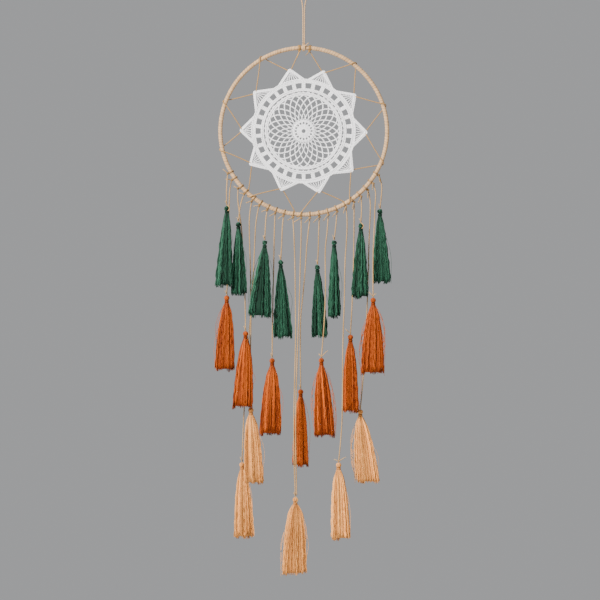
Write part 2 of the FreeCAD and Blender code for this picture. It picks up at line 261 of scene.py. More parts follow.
def closed_mesh(work: bmesh.types.BMesh, name: str) -> bpy.types.Mesh:
    """Make a form into a closed mesh with its faces outwards.

    Args:
        work: the form, which is used up.
        name: what the mesh is called.

    Returns:
        The mesh.
    """
    mesh = bpy.data.meshes.new(name)
    work.to_mesh(mesh)
    work.free()
    face_outwards(mesh)
    return mesh


def joined(name: str, meshes: Iterable[bpy.types.Mesh]) -> bpy.types.Mesh:
    """Put several meshes into one, and keep their tones.

    Args:
        name: what the new mesh is called.
        meshes: the meshes to join, which are used up.

    Returns:
        The new mesh.
    """
    work = bmesh.new()
    for mesh in meshes:
        work.from_mesh(mesh)
        bpy.data.meshes.remove(mesh)
    whole = bpy.data.meshes.new(name)
    work.to_mesh(whole)
    work.free()
    return whole


def linked(name: str, data: bpy.types.ID) -> bpy.types.Object:
    """Put a new object in the scene.

    Args:
        name: what it is called.
        data: its mesh, curve, lamp or camera.

    Returns:
        The object.
    """
    thing = bpy.data.objects.new(name, data)
    bpy.context.scene.collection.objects.link(thing)
    return thing


def place(mesh: bpy.types.Mesh, finish: "Finish", body: str, *nodes: str) -> bpy.types.Object:
    """Make a finished piece of a mesh.

    Args:
        mesh: the piece's mesh, already in its place.
        finish: what it is made of.
        body: the CAD body that it moves with.
        nodes: the CAD nodes that it stands for.

    Returns:
        The piece's object.
    """
    piece = linked(mesh.name, mesh)
    mesh.materials.clear()
    mesh.materials.append(finish.material())
    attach(piece, body)
    if nodes:
        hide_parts(*nodes)
    LOG.info("%s: %d faces on %s", piece.name, len(mesh.polygons), body)
    return piece


def fill(tree: bpy.types.NodeTree, node: bpy.types.Node, inputs: NodeInputs) -> None:
    """Set some of a node's inputs.

    Args:
        tree: the tree that the node is in.
        node: the node.
        inputs: a value, or another node's output, for each input by name or number.
    """
    for name, value in inputs.items():
        if isinstance(value, bpy.types.NodeSocket):
            tree.links.new(value, node.inputs[name])
        else:
            node.inputs[name].default_value = value


def new_node(tree: bpy.types.NodeTree, kind: str, inputs: NodeInputs, **settings: object) -> bpy.types.Node:
    """Add a node to a tree.

    Args:
        tree: the tree.
        kind: the node's type.
        inputs: a value, or another node's output, for each input by name or number.
        settings: the node's own properties.

    Returns:
        The new node.
    """
    node = tree.nodes.new(kind)
    for name, value in settings.items():
        setattr(node, name, value)
    fill(tree, node, inputs)
    return node


def fibre_group() -> bpy.types.NodeTree:
    """The shared effect of fibres: fine streaks drawn out along Z, and soft blotches over them.

    Returns:
        The node group, made the first time that it is asked for.
    """
    known = bpy.data.node_groups.get("fibres")
    if known:
        return known
    tree = bpy.data.node_groups.new("fibres", "ShaderNodeTree")
    tree.interface.new_socket("Coordinates", in_out="INPUT", socket_type="NodeSocketVector")
    for name in ("Fineness", "Stretch", "Blotch Size"):
        tree.interface.new_socket(name, in_out="INPUT", socket_type="NodeSocketFloat")
    for name in ("Fibre", "Blotch"):
        tree.interface.new_socket(name, in_out="OUTPUT", socket_type="NodeSocketFloat")
    given = tree.nodes.new("NodeGroupInput").outputs
    drawn = new_node(tree, "ShaderNodeMath", {0: given["Fineness"], 1: given["Stretch"]},
                     operation="MULTIPLY")
    scale = new_node(tree, "ShaderNodeCombineXYZ",
                     {"X": given["Fineness"], "Y": given["Fineness"], "Z": drawn.outputs[0]})
    scaled = new_node(tree, "ShaderNodeVectorMath", {0: given["Coordinates"], 1: scale.outputs[0]},
                      operation="MULTIPLY")
    streaks = new_node(tree, "ShaderNodeTexNoise",
                       {"Vector": scaled.outputs[0], "Scale": 1.0, "Detail": 2.5})
    blotches = new_node(tree, "ShaderNodeTexNoise",
                        {"Vector": given["Coordinates"], "Scale": given["Blotch Size"], "Detail": 1.0})
    new_node(tree, "NodeGroupOutput", {"Fibre": streaks.outputs[0], "Blotch": blotches.outputs[0]})
    return tree


@dataclass(frozen=True)
class Finish:
    """What a piece is made of: its colours, its gloss and the lie of its fibres."""

    name: str
    slot: str
    # dark and light are the colours at tone 0 and tone 1; the low tones carry painted shade in grooves,
    # hollows and necks as well as the threads' own darker tones
    dark: Colour
    light: Colour
    roughness: float
    fineness: float                 # fibres in a metre
    blotch: float                   # blotches in a metre
    stretch: float = 1.0            # fibres in a metre along Z, as a share of fineness
    relief: float = 0.12            # height of a fibre, in millimetres
    tone_share: float = 0.5         # how far the tone of a thread sets its colour, against its fibres
    sheen: float = 0.0
    anisotropy: float = 0.0
    metallic: float = 0.0
    specular: float = 0.3           # strength of the reflection from the surface

    def material(self) -> bpy.types.Material:
        """The finish's material.

        Returns:
            The material, made the first time that it is asked for.
        """
        known = bpy.data.materials.get(self.name)
        if known:
            return known
        material = bpy.data.materials.new(self.name)
        material.use_nodes = True
        tree = material.node_tree
        coordinates = tree.nodes.new("ShaderNodeTexCoord")
        fibres = new_node(tree, "ShaderNodeGroup", {
            "Fineness": self.fineness, "Stretch": self.stretch, "Blotch Size": self.blotch,
            "Coordinates": coordinates.outputs["Object"]}, node_tree=fibre_group())
        tone = new_node(tree, "ShaderNodeAttribute", {}, attribute_name="tone")
        shares = new_node(tree, "ShaderNodeMix", {
            "Factor": self.tone_share, "A": fibres.outputs["Fibre"], "B": tone.outputs["Fac"]})
        # the tone, which carries painted shade in places, mixed with soft blotches of wear
        wear_and_painted_shade = new_node(tree, "ShaderNodeMix", {
            "Factor": 0.2, "A": shares.outputs["Result"], "B": fibres.outputs["Blotch"]})
        spread = new_node(tree, "ShaderNodeMapRange", {
            "From Min": 0.15, "From Max": 0.85, "Value": wear_and_painted_shade.outputs["Result"]})
        colour = new_node(tree, "ShaderNodeMix", {
            "A": (*self.dark, 1.0), "B": (*self.light, 1.0), "Factor": spread.outputs["Result"]},
            data_type="RGBA")
        gloss = new_node(tree, "ShaderNodeMapRange", {
            "To Min": self.roughness - 0.08, "To Max": min(1.0, self.roughness + 0.1),
            "Value": fibres.outputs["Fibre"]})
        bump = new_node(tree, "ShaderNodeBump", {
            "Strength": 0.6, "Distance": self.relief * MM, "Height": fibres.outputs["Fibre"]})
        fill(tree, tree.nodes["Principled BSDF"], {
            "Metallic": self.metallic, "Specular IOR Level": self.specular, "Sheen Weight": self.sheen,
            "Sheen Roughness": 0.4, "Anisotropic": self.anisotropy, "Base Color": colour.outputs["Result"],
            "Roughness": gloss.outputs["Result"], "Normal": bump.outputs["Normal"]})
        return material


LACE = Finish(
    "suede_lace", "lace", dark=(0.21, 0.115, 0.05), light=(0.58, 0.37, 0.195),
    roughness=0.9, fineness=1500, blotch=90, tone_share=0.6, sheen=0.05, specular=0.15)
# the white cotton's grey dark colour is reached mostly through painted shade: between stitches and on the
# doily's set-back rows
COTTON = Finish(
    "white_crochet", "crochet_cotton", dark=(0.46, 0.445, 0.455), light=(0.99, 0.985, 0.99),
    roughness=0.85, fineness=2200, blotch=50, tone_share=0.6, sheen=0.05)
GOLD_THREAD = Finish(
    "golden_thread", "lacing_thread", dark=(0.18, 0.09, 0.022), light=(0.45, 0.25, 0.075),
    roughness=0.5, fineness=2200, blotch=120, stretch=0.6, relief=0.1)
TAN_STRING = Finish(
    "tan_string", "string", dark=(0.22, 0.12, 0.04), light=(0.52, 0.32, 0.14),
    roughness=0.7, fineness=2400, blotch=70, stretch=0.5, relief=0.1, specular=0.2)
KNOTTED_STRING = Finish(
    "knotted_string", "string", dark=(0.12, 0.06, 0.015), light=(0.48, 0.29, 0.12),
    roughness=0.6, fineness=2000, blotch=150, stretch=0.8, relief=0.1, tone_share=0.7, specular=0.2)
STEEL = Finish(
    "drawn_steel", "ring_steel", dark=(0.32, 0.32, 0.33), light=(0.6, 0.6, 0.61),
    roughness=0.35, fineness=3000, blotch=40, relief=0.02, tone_share=0.0, metallic=1.0, specular=0.5)
GREEN_RAYON = Finish(
    "dyed_green", "green_rayon", dark=(0.0012, 0.0065, 0.0035), light=(0.031, 0.112, 0.064),
    roughness=0.6, fineness=1300, blotch=35, stretch=0.05, relief=0.15, tone_share=0.8, anisotropy=0.4,
    specular=0.09)
ORANGE_RAYON = Finish(
    "dyed_orange", "orange_rayon", dark=(0.105, 0.013, 0.001), light=(0.545, 0.108, 0.0115),
    roughness=0.6, fineness=1300, blotch=35, stretch=0.04, tone_share=0.8, anisotropy=0.4, specular=0.1)
CREAM_RAYON = Finish(
    "dyed_cream", "cream_rayon", dark=(0.3, 0.11, 0.025), light=(0.99, 0.455, 0.13),
    roughness=0.6, fineness=1300, blotch=35, stretch=0.04, tone_share=0.8, anisotropy=0.4, specular=0.12)
FLOOR_PAINT = Finish(
    "floor_paint", "", dark=(0.62, 0.62, 0.62), light=(0.7, 0.7, 0.7),
    roughness=0.9, fineness=20, blotch=3, relief=0.15, tone_share=0.55)


@dataclass
class LaceWrap:
    """The flat suede lace wound slantwise round the hoop's ring, each turn over the edge of the last."""

    turns: int = 188
    around: int = 22                # faces round the tube
    lumps: int = 53                 # thicker places round the hoop
    waves: tuple[tuple[float, int, float], ...] = ((0.16, 11, 0.0), (0.12, 37, 1.3), (0.07, 71, 0.4))
    ridge: tuple[float, ...] = (2.24, 2.41, 2.45, 2.44, 2.43, 2.41, 2.38, 2.32)
    # painted shade: the tone of each column across a turn, darkest in the groove where one turn meets the
    # next and lightest on the crest
    shade: tuple[float, ...] = (0.3, 0.85, 1.0, 0.95, 0.9, 0.85, 0.75, 0.6)

    def wander(self, turn: float) -> float:
        """How far a turn lies off its even place, in turns."""
        a = 2 * math.pi * turn / self.turns
        return sum(size * math.sin(count * a + lag) for size, count, lag in self.waves)

    def mesh(self) -> bpy.types.Mesh:
        """Roll a flat grid into the wound sleeve, its columns along the lace's edge.

        Returns:
            The sleeve.
        """
        steps = len(self.ridge)
        columns = self.turns * steps
        work = bmesh.new()
        bmesh.ops.create_grid(work, x_segments=columns, y_segments=self.around, size=1.0)
        tone = work.verts.layers.float.new("tone")
        for vert in work.verts:
            column = round((vert.co.x + 1) / 2 * columns)
            share = round((vert.co.y + 1) / 2 * self.around) / self.around
            turn = column / steps - share
            lump = math.sin(2 * math.pi * self.lumps * turn / self.turns)
            reach = self.ridge[column % steps] * (1 + 0.008 * lump)
            side = 2 * math.pi * share
            degrees = 360 * (turn + self.wander(turn)) / self.turns
            # the column's painted shade, a little lighter where the lace is thicker
            vert[tone] = self.shade[column % steps] * (0.86 + 0.14 * lump)
            vert.co = polar(HOOP_RADIUS + reach * math.cos(side), degrees, reach * math.sin(side)) * MM
        bmesh.ops.remove_doubles(work, verts=work.verts, dist=1e-6)
        return closed_mesh(work, "wound_lace")


@dataclass
class Doily:
    """The crocheted doily: a domed eye, a net of ribs, two raised bands, windows and ten fanned points."""

    point_angles: tuple[float, ...] = (102.7, 141.7, 179.4, 211.8, 249.2, 284.3, 320.7, 358.7, 35.0, 71.4)
    reach: float = 76.0
    valley: float = 60.0
    stitch: float = 1.9
    dome_rows: tuple[float, ...] = (2.95, 4.1, 5.3, 6.5, 7.6)
    net_radii: tuple[float, ...] = (12.6, 15.9, 21.6, 27.6, 33.2, 39.0, 42.4)
    net_count: int = 26
    window_count: int = 30
    ribs: int = 10
    threads: Threads = field(default_factory=lambda: Threads("crocheted_doily", Section.ROUND))

    def crochet(self, line: Sequence[Vector], radius: float, closed: bool = False,
                swell: Sequence[float] = (1, 1), tone: float = 0.62) -> None:
        """Lay one row of stitches: a cord that swells from stitch to stitch, with a painted highlight on
        each stitch and painted shade between them.

        Args:
            line: the row's middle line.
            radius: half the row's thickness.
            closed: whether its end joins its start.
            swell: shares of the radius at its start and its end.
            tone: its tone midway between the painted highlight on a stitch and the painted shade between
                stitches.
        """
        points = along_line(line, self.stitch / 3)
        if closed:
            points.pop()
        count = len(points)
        stitches = max(1, round(count / 3))
        shares, tones = [], []
        for n in range(count):
            wave = math.cos(2 * math.pi * stitches * n / count)
            shares.append((1 + 0.15 * wave) * mix(swell[0], swell[1], n / count))
            # painted shade between stitches and painted highlight on each stitch's crest, following the
            # swell
            tones.append(tone + 0.38 * wave)
        self.threads.add(points, radius, tones, closed=closed, taper=shares)

    def ring(self, radius: float, thickness: float, y: float) -> None:
        """Lay one round row, slightly uneven as hand crochet is.

        Args:
            radius: from the hoop's middle.
            thickness: half the thickness of the row.
            y: how far behind the hoop's middle plane.
        """
        line = []
        for n in range(181):
            a = n * 2
            slow = 0.12 * math.sin(math.radians(5 * a + radius * 40))
            uneven = slow + 0.08 * math.sin(math.radians(13 * a))
            line.append(polar(radius + uneven * min(1, radius / 20), a, y))
        self.crochet(line, thickness, closed=True)

    def eye(self) -> None:
        """The domed middle, its ring of small holes and the raised ring round them."""
        for radius in self.dome_rows:
            self.ring(radius, 0.72, -0.3 - 0.9 * (1 - (radius / 8.5) ** 2))
        for n in range(16):
            a = n * 22.5 + 11.25
            self.crochet([polar(7.4, a, -0.3), polar(11.4, a, -0.2)], 0.95)
        self.ring(11.2, 0.85, -0.45)
        self.ring(12.5, 0.75, -0.25)

    def net(self) -> None:
        """Two families of ribs that spiral out both ways and cross between the holes."""
        half = 180 / self.net_count
        for n in range(self.net_count):
            for way in (-1, 1):
                line = []
                for row, (near, far) in enumerate(zip(self.net_radii, self.net_radii[1:])):
                    for share in (0.0, 0.5) if row < 5 else (0.0, 0.5, 1.0):
                        bow = 0.35 * half * share * (1 - share) if row else 0.0
                        a = (n * 2 + way * (row + share)) * half - way * bow + half
                        line.append(polar(mix(near, far, share), a, 0.32 * way))
                self.crochet(line, 0.8, swell=(0.66, 1.08))

    def bands(self) -> None:
        """The close rings outside the net, the dashed groove between them, and the windows."""
        for radius, y in ((42.5, -0.15), (44.3, -0.35), (47.5, -0.55), (49.3, -0.3)):
            self.ring(radius, 0.98, y)
        draw = random.Random(3)
        a = 0.0
        while a < 359:
            long = draw.uniform(1.4, 5.0)
            # the dashed groove is a darker row, as painted shade in the groove
            self.crochet([polar(45.9, a + n * long / 4, 0.2) for n in range(5)], 0.85, tone=0.5)
            a += long + draw.uniform(2.4, 6.0)
        for n in range(self.window_count):
            for side in (-1.4, 0.0, 1.4):
                middle = (n + 0.5) * 360 / self.window_count
                at = [polar(r, middle, -0.1) for r in (49.6, 57.0)]
                across = polar(1.0, middle + 90) - polar(0, 0)
                lean = draw.uniform(-0.25, 0.25)
                self.crochet([at[0] + across * side, at[1] + across * (side + lean)], 0.95)
        for radius, y in ((57.1, -0.35), (58.8, -0.15), (60.4, -0.3)):
            self.ring(radius, 0.98, y)

    def point(self, n: int) -> None:
        """One laced point: two border rows round a fan of ribs that leaves thin slits.

        Args:
            n: which one, in the order of point_angles.
        """
        angle = self.point_angles[n]
        before = (angle - self.point_angles[n - 1]) % 360 / 2
        after = (self.point_angles[(n + 1) % 10] - angle) % 360 / 2
        tip = polar(self.reach, angle)
        left, right = polar(self.valley, angle + after), polar(self.valley, angle - before)
        heart = polar(64.9, angle)
        for shrink, y in ((0.88, -0.25), (0.69, -0.5)):
            corners = [left, tip.lerp(left, 0.14), tip.lerp(heart, 0.03), tip.lerp(right, 0.14), right]
            line = [heart + (c - heart) * shrink + Vector((0, y, 0)) for c in corners]
            self.crochet(smooth_line(line, 0.6), 1.02)
        for rib in range(self.ribs):
            share = rib / (self.ribs - 1)
            foot = polar(61.2, angle + mix(after - 4.0, 4.0 - before, share), 0.1)
            top = polar(69.8, angle + mix(2.6, -2.6, share), 0.0)
            # the fan's ribs sit behind the border rows and are darker, as painted shade
            self.crochet([top, foot], 0.66, swell=(0.62, 1.0), tone=0.5)
        eyelet = []
        for k in range(13):
            a = k * math.pi / 6
            eyelet.append(polar(LACING_HOLE, angle) + Vector((1.1 * math.cos(a), -0.3, 1.1 * math.sin(a))))
        self.crochet(eyelet, 0.6, closed=True)

    def mesh(self) -> bpy.types.Mesh:
        """Crochet the whole doily.

        Returns:
            All its rows in one mesh.
        """
        self.eye()
        self.net()
        self.bands()
        for n in range(len(self.point_angles)):
            self.point(n)
        return self.threads.mesh()

    def flat_area(self) -> float:
        """The doily's flat area in square metres.

        Returns:
            The area of its ten-pointed outline, with its holes.
        """
        whole = 0.0
        for n, angle in enumerate(self.point_angles):
            gap = (self.point_angles[(n + 1) % 10] - angle) % 360
            whole += self.reach * self.valley * math.sin(math.radians(gap / 2))
        return whole * MM * MM


def overhand(threads: Threads, middle: Vector, size: float, turn: Euler, radius: float, tone: float) -> None:
    """A drawn-up overhand knot.

    Args:
        threads: the bundle that it is added to.
        middle: its middle.
        size: from its middle to the middle of its outermost strand.
        turn: how it lies.
        radius: of its thread.
        tone: of its thread.
    """
    line = []
    for n in range(30):
        t = 2 * math.pi * n / 30
        loop = Vector((math.sin(t) + 2 * math.sin(2 * t), math.cos(t) - 2 * math.cos(2 * t),
                       -1.4 * math.sin(3 * t)))
        loop.rotate(turn)
        line.append(middle + loop * (size / 3))
    threads.add(line, radius, tone, closed=True)


def wound_turns(degrees: float, radius: float, pitch: float, turns: float) -> list[Vector]:
    """A thread wound round the hoop.

    Args:
        degrees: where on the hoop.
        radius: from the middle of the hoop's tube to the middle of the thread.
        pitch: from one turn to the next.
        turns: how many.

    Returns:
        The thread's middle line.
    """
    line = []
    steps = 20
    for n in range(round(steps * turns) + 1):
        a = 2 * math.pi * n / steps
        along = math.degrees((n / steps - turns / 2) * pitch / HOOP_RADIUS)
        line.append(polar(HOOP_RADIUS + radius * math.cos(a), degrees + along, radius * math.sin(a)))
    return line


def frayed_tail(threads: Threads, foot: Vector, tip: Vector, bow: tuple[float, float, float], step: float,
                radius: float, draw: random.Random) -> None:
    """A cut end: a short thread that opens into loose fibres at its tip.

    Args:
        threads: the bundle that it is added to.
        foot: where it starts.
        tip: where its fibres start.
        bow: how far its middle stands off the straight line between them.
        step: between two points of its middle line.
        radius: its radius.
        draw: the chances that spread its fibres.
    """
    line = smooth_line([foot, foot.lerp(tip, 0.5) + Vector(bow), tip], step)
    threads.add(line, radius, [mix(0.45, 0.8, n / (len(line) - 1)) for n in range(len(line))], twist=0.2)
    out = (line[-1] - line[-2]).normalized()
    for _ in range(5):
        spread = Vector([draw.uniform(-1, 1) for _ in range(3)]) * radius * 1.3
        tip = line[-1] + out * draw.uniform(1.0, 2.2) + spread
        fibre = [line[-1] - out * 0.4 + spread * 0.4, line[-1] + out * 0.7 + spread * 0.6, tip]
        threads.add(fibre, radius * 0.3, 0.95)


@dataclass
class Lacing:
    """The golden thread that laces the doily's points to the hoop, and the two knots that it ends in."""

    radius: float = 0.55
    ends: float = HOOP_RADIUS - TUBE_RADIUS - 1.1   # from the hoop's middle to the thread's two knots
    start: float = 93.0             # their angles round the hoop
    end: float = 85.9
    grip: float = 3.12              # middle of the tube to the thread's route where it goes round
    turns: tuple[tuple[float, float], ...] = (
        (119.0, 121.0), (158.6, 160.4), (191.4, 193.4), (228.4, 230.6), (265.2, 266.8),
        (301.2, 302.8), (336.4, 338.8), (16.4, 18.6), (51.6, 53.6))
    tails: tuple[tuple[float, float, float], ...] = ((-2.6, -2.2, -7.0), (-3.4, -2.0, -4.3))

    def route(self) -> list[Vector]:
        """The thread's points from its first knot to its last.

        Returns:
            The control points of its line.
        """
        angles = Doily.point_angles
        points = [polar(self.ends, self.start, -0.6)]
        for n, angle in enumerate(angles):
            eyelet = polar(LACING_HOLE, angle)
            points += [eyelet + Vector((0, -1.3, 0)), eyelet + Vector((0, 1.3, 0))]
            if n < len(self.turns):
                behind, before = self.turns[n]
                following = polar(LACING_HOLE, angles[n + 1])
                points += [
                    eyelet.lerp(polar(HOOP_RADIUS, behind), 0.88) + Vector((0, self.grip, 0)),
                    polar(HOOP_RADIUS + self.grip, behind, self.grip),
                    polar(HOOP_RADIUS + self.grip, before, -self.grip),
                    following.lerp(polar(HOOP_RADIUS, before), 0.88) - Vector((0, self.grip, 0))]
        points.append(polar(self.ends, self.end, 0.6))
        return points

    def mesh(self) -> bpy.types.Mesh:
        """Lace the thread through and tie its ends off.

        Returns:
            The thread, its two knots and its cut ends.
        """
        draw = random.Random(11)
        threads = Threads("lacing_thread", Section.PAIRED)
        line = smooth_line([p * MM for p in self.route()], 0.6 * MM)
        threads.add([p / MM for p in line], self.radius, 0.6, twist=0.3)
        for degrees, tail in zip((self.start, self.end), self.tails):
            turns = wound_turns(degrees, TUBE_RADIUS + self.radius + 0.05, 1.15, 2.5)
            threads.add(turns, self.radius, 0.5, twist=0.3)
            bead = polar(self.ends, degrees, -0.8)
            overhand(threads, bead, 1.15, Euler((0.6, 0.3, degrees)), self.radius, 0.45)
            frayed_tail(threads, bead, bead + Vector(tail), (0.5, -0.6, 0), 0.8, self.radius * 0.9, draw)
        return threads.mesh()


class Dye(Enum):
    """The tassels' three colours."""

    GREEN = GREEN_RAYON
    ORANGE = ORANGE_RAYON
    CREAM = CREAM_RAYON

    @property
    def hem_shade(self) -> float:
        """How much darker the threads look at the hem."""
        return 0.25 if self is Dye.ORANGE else 0.08

    @property
    def profile(self) -> tuple[tuple[float, float], ...]:
        """How the skirt spreads: share of its length, share of its spread.

        Returns:
            Pairs from the top of the skirt to its hem.
        """
        if self is Dye.GREEN:
            return (0.0, 0.0), (0.14, 0.28), (0.4, 0.56), (0.72, 0.84), (1.0, 1.0)
        return (0.0, 0.0), (0.14, 0.4), (0.4, 0.72), (0.72, 0.9), (1.0, 1.0)


@dataclass
class StringLine:
    """One string and the knot on the hoop that it hangs from."""

    angle: float                    # of its knot, round the hoop
    tail_angle: float
    tail_length: float
    route: Route                    # points to the right of the knot and below it

    def points(self, depth: float, gap: float) -> list[Vector]:
        """The string's points from just below its knot to its tie on the tassel.

        Args:
            depth: how far behind the hoop's middle plane the tassel hangs.
            gap: between the knot and the string's start.

        Returns:
            The control points of its line.
        """
        y = knot_depth(depth)
        knot = polar(KNOT_CIRCLE, self.angle, y)
        fall = self.route[-1][1]
        below = [knot + Vector((right, (depth - y) * down / fall, -down)) for right, down in self.route]
        out = (below[0] - knot).normalized()
        return [knot + out * (1.5 + gap) / math.hypot(out.x, out.z)] + below


def knot_depth(depth: float) -> float:
    """How far a string's knot sits in front of or behind the hoop's middle plane."""
    return max(-1.6, min(1.6, 0.35 * depth))


@dataclass
class Strand:
    """A tassel and the string or strings that it hangs on."""

    name: str
    depth: float                    # of the tassel, behind the hoop's middle plane
    length: float                   # ball's middle to the hem
    left: float                     # hem's edges from the ball's middle
    right: float
    strings: list[StringLine]
    strays: tuple[int, int] = (0, 1)    # loose threads on the left and on the right
    tie_tails: tuple[tuple[float, float], ...] = ((-1.2, 3.0),)     # right and up, from the tie
    looped: bool = False            # whether its string's end comes down beside the head
    shoulder: float = 1.0           # below 1 the skirt is fuller just under the neck
    locks: int = 15
    threads_in_lock: int = 17

    @property
    def dye(self) -> Dye:
        """The tassel's colour, the first word of the strand's name."""
        return Dye[self.name.split("_")[0].upper()]

    @property
    def body(self) -> str:
        """The CAD body that the strand swings with."""
        return f"strand_{self.name}"

    @property
    def end(self) -> Vector:
        """Where the string ends on the tassel's tie."""
        return self.strings[0].points(self.depth, self.gap)[-1]

    @property
    def gap(self) -> float:
        """Between a knot and the start of its string."""
        return 0.5 if len(self.strings) > 1 else 0.3

    @property
    def ball(self) -> Vector:
        """The middle of the tassel's ball."""
        return self.end - Vector((0, 0, TIE_BELOW + math.sqrt(BALL_RADIUS ** 2 - BALL_TOP ** 2)))

    def draw(self) -> random.Random:
        """The strand's own fixed chances."""
        return random.Random(sum(ord(c) * (n + 3) for n, c in enumerate(self.name)))

    def hang(self) -> None:
        """Hang the strings, twisted of three plies, and tie them."""
        tie = place(self.tie(), TAN_STRING, self.body)
        for n, string in enumerate(self.strings):
            node = f"string_{self.name}" + ("_b" if n else "")
            line = smooth_line([p * MM for p in string.points(self.depth, self.gap)], ROUTE_STEP * MM)
            threads = Threads("twisted_" + node, Section.PLIED)
            draw = self.draw()
            tones = [0.5 + 0.2 * math.sin(k * 0.09 + draw.random()) for k in range(len(line))]
            threads.add([p / MM for p in line], 0.7, tones, twist=0.22)
            piece = place(threads.mesh(), TAN_STRING, self.body, node)

    def tie(self) -> bpy.types.Mesh:
        """The knot that ties the string to the tassel, and its cut ends.

        Returns:
            The knot, and the loop beside the head if there is one.
        """
        draw = self.draw()
        threads = Threads(f"tie_{self.name}", Section.ROUND)
        lie = Euler((0.4, draw.random(), draw.random()))
        overhand(threads, self.end + Vector((0, -0.1, 0.3)), 0.75, lie, 0.42, 0.55)
        for right, up in self.tie_tails:
            foot = self.end + Vector((0, -0.8, 0.3))
            frayed_tail(threads, foot, foot + Vector((right, -0.5, up)), (0, -0.7, 0.3), 0.7, 0.5, draw)
        if self.looped:
            loop = [self.end + Vector((0, -0.6, 0.2))]
            loop += [self.ball + Vector(p) for p in (
                (1.9, -2.3, 2.2), (3.2, -2.0, 0.6), (2.7, -2.6, -1.6), (1.0, -3.1, -2.9))]
            threads.add(smooth_line(loop, 0.6), 0.5, 0.5)
        return threads.mesh()

    def spread(self, share: float) -> tuple[float, float, float]:
        """How the skirt has spread.

        Args:
            share: how far down it, from 0 at its top to 1 at its hem.

        Returns:
            How far its middle is to the right of the ball's, its half width and its half depth.
        """
        wide = 1.0
        for (a, low), (b, high) in zip(self.dye.profile, self.dye.profile[1:]):
            if a <= share <= b:
                wide = mix(low, high, (share - a) / (b - a))
        wide **= self.shoulder
        half = SKIRT_TOP + ((self.right - self.left) / 2 - SKIRT_TOP) * wide
        deep = SKIRT_TOP + SKIRT_DEEPENING * min(1.0, 2 * wide)
        return (self.left + self.right) / 2 * share, half, deep

    def skirt_point(self, side: float, share: float, reach: float) -> Vector:
        """A point in the skirt.

        Args:
            side: its angle round the skirt, in radians.
            share: how far down the skirt.
            reach: how far out from the skirt's middle, 1 at its outside.

        Returns:
            The point.
        """
        shift, half, deep = self.spread(min(1.0, share))
        top = self.ball - Vector((0, 0, SKIRT_DROP))
        return top + Vector((shift + (half - THREAD_INSET) * reach * math.cos(side),
                             (deep - THREAD_INSET) * reach * math.sin(side),
                             -(self.length - SKIRT_DROP) * share))

    def core(self) -> bpy.types.Mesh:
        """The inside of the skirt, darkened as painted shade between the threads: a lofted form pinched in
        at the neck.

        Returns:
            The form.
        """
        work = bmesh.new()
        tone = work.verts.layers.float.new("tone")
        ring = bmesh.ops.create_circle(work, cap_ends=True, segments=20, radius=1.0)["verts"]
        shares = (0.0, 0.05, 0.14, 0.27, 0.4, 0.56, 0.72, 0.86, 0.965)
        edges = list(work.edges)
        for n, share in enumerate(shares):
            if n:
                grown = bmesh.ops.extrude_edge_only(work, edges=edges)["geom"]
                ring = [g for g in grown if isinstance(g, bmesh.types.BMVert)]
                edges = [g for g in grown if isinstance(g, bmesh.types.BMEdge)]
            for k, vert in enumerate(ring):
                a = 2 * math.pi * k / len(ring) if n else math.atan2(vert.co.y, vert.co.x)
                vert.co = self.skirt_point(a, share, 0.74) * MM
                # low tone: painted shade inside the skirt
                vert[tone] = 0.12
        return closed_mesh(work, "core")

    def head(self) -> bpy.types.Mesh:
        """The head: threads drawn over a round knob, or a looser knot on a green one, bound at the neck.

        Returns:
            The head and the binding.
        """
        draw = self.draw()
        threads = Threads("head", Section.ROUND)
        middle = self.ball
        if self.dye is Dye.GREEN:
            lie = Euler((0.9, draw.random(), draw.random() * 3))
            overhand(threads, middle + Vector((0, -0.2, 0.2)), 2.15, lie, 1.15, 0.45)
            for k in range(8):
                a = draw.uniform(0, 2 * math.pi)
                bend = middle + Vector((2.7 * math.cos(a), 2.0 * math.sin(a), draw.uniform(-1.6, 1.6)))
                bundle = [middle + Vector((0, 0, 2.2)), bend, middle + Vector((0, 0, -3.0))]
                threads.add(bundle, 0.8, draw.random())
        else:
            for k in range(22):
                line = []
                for tilt in (10, 32, 56, 80, 104, 128, 152):
                    t = math.radians(tilt + draw.uniform(-3, 3))
                    a = 2 * math.pi * k / 22 + 0.5 * t
                    line.append(middle + Vector((2.85 * math.sin(t) * math.cos(a),
                                                 2.85 * math.sin(t) * math.sin(a), 2.85 * math.cos(t))))
                threads.add(line, 0.36, draw.uniform(0.05, 0.6))
        # the binding at the neck is given the lowest tone, as painted shade under the head
        for k in range(5):
            level = middle - Vector((0, 0, 2.9 + 0.42 * k))
            ring = [level + Vector((2.25 * math.cos(a), 2.25 * math.sin(a), 0.06 * math.sin(a)))
                    for a in (2 * math.pi * s / 16 for s in range(16))]
            threads.add(ring, 0.3, 0.08, closed=True)
        work = bmesh.new()
        work.from_mesh(threads.mesh())
        tone = work.verts.layers.float["tone"]
        knob = bmesh.ops.create_uvsphere(work, u_segments=16, v_segments=10, radius=2.7 * MM,
                                         matrix=Matrix.Translation(middle * MM))["verts"]
        # the knob shows between the threads in a very low tone, as painted shade
        for vert in knob:
            vert[tone] = 0.05
        return closed_mesh(work, "head")

